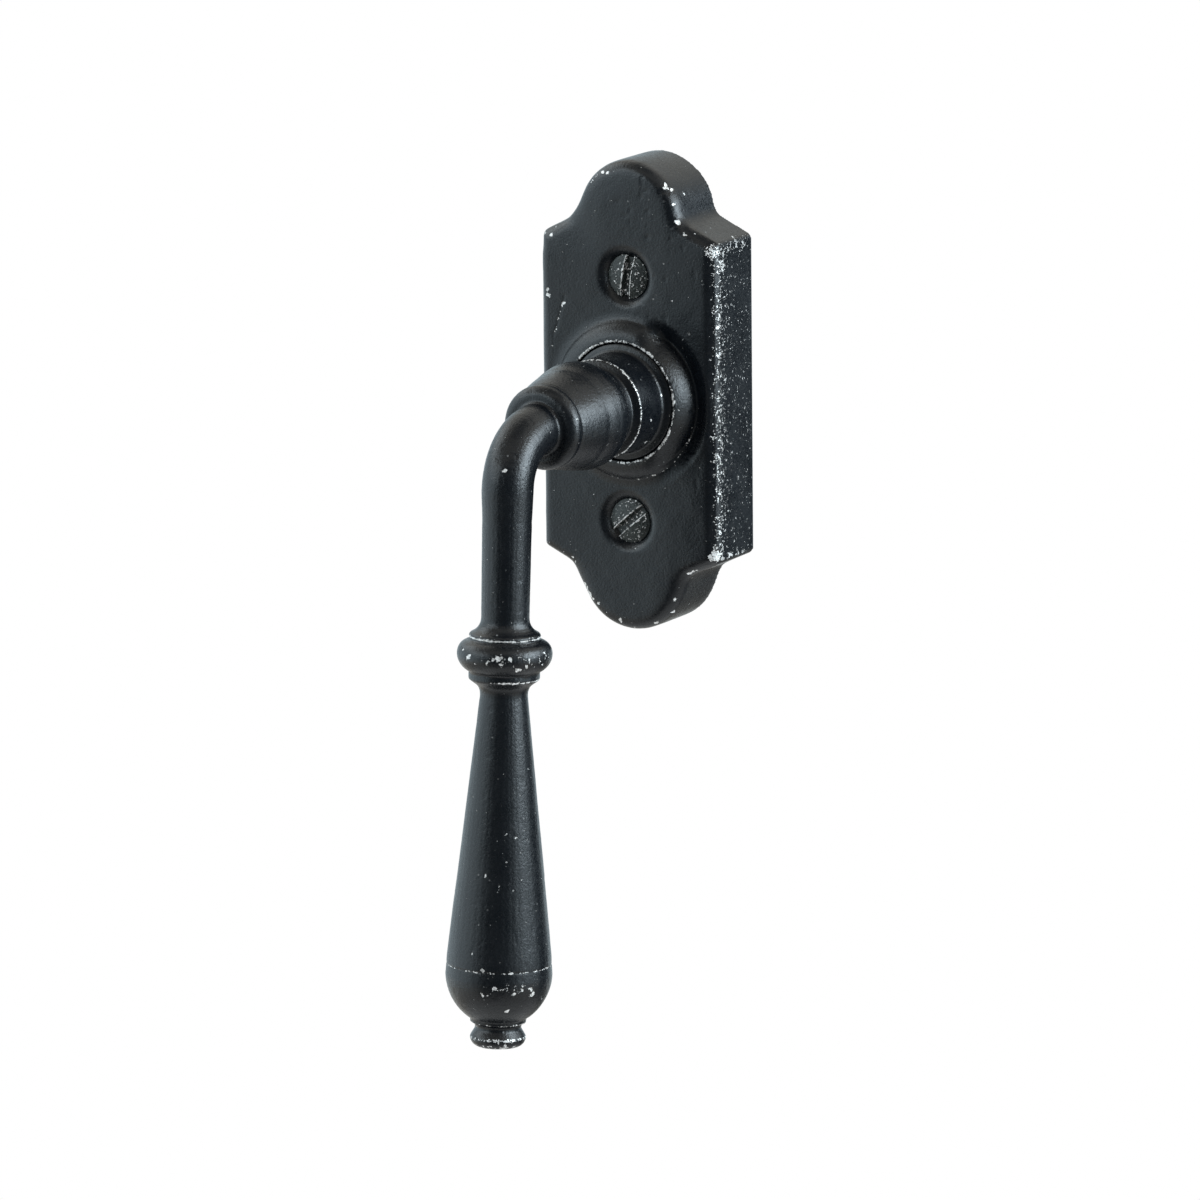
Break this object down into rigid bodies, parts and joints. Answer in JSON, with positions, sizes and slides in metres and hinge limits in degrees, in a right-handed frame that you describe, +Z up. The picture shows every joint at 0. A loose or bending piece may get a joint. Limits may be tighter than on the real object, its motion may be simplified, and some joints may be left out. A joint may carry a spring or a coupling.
{
  "type": "window handle",
  "caption": "Forged black window handle: an ogee-ended rose with a raised boss, a turned neck, a bent shank and a ringed, swelling grip that hangs down. Square spindle behind.",
  "frame": {"origin": "on the spindle's axis, in the plane where the rose's back lies on the window frame", "axes": "+Z up along the rose, +Y into the window frame along the spindle, so the handle stands out towards -Y; +X across the rose"},
  "size_m": [0.035, 0.0914, 0.1463],
  "materials": {
    "black_forging": "satin blue-black coating over forged iron, worn bright on the edges",
    "black_screw": "blackened steel, slightly rough",
    "plated_steel": "zinc plated, dull",
    "spring_steel": "blued spring steel",
    "zinc_casting": "raw die casting, matt",
    "white_nylon": "natural nylon, matt"
  },
  "bodies": {
    "fixed_rose": {"rose": "black_forging", "neck_bush": "white_nylon", "friction_washer": "white_nylon", "spring_washer": "spring_steel", "thrust_washer": "plated_steel", "detent_housing": "zinc_casting", "right_detent_spring": "spring_steel", "left_detent_spring": "spring_steel", "detent_cover": "plated_steel", "works_screws": "plated_steel", "mounting_plate": "plated_steel", "plate_screws": "plated_steel", "upper_lug": "plated_steel", "lower_lug": "plated_steel", "fixing_screws": "black_screw"},
    "handle": {"lever": "black_forging", "spindle": "plated_steel", "grub_screw": "black_screw", "detent_cam": "white_nylon", "retaining_clip": "spring_steel"}
  },
  "joints": [
    {"name": "handle_turn", "type": "hinge", "parent": "fixed_rose", "child": "handle", "pos_m": [0, 0, 0], "axis": [0, 1, 0], "continuous": true, "deforming": ["right_detent_spring", "left_detent_spring"]}
  ]
}
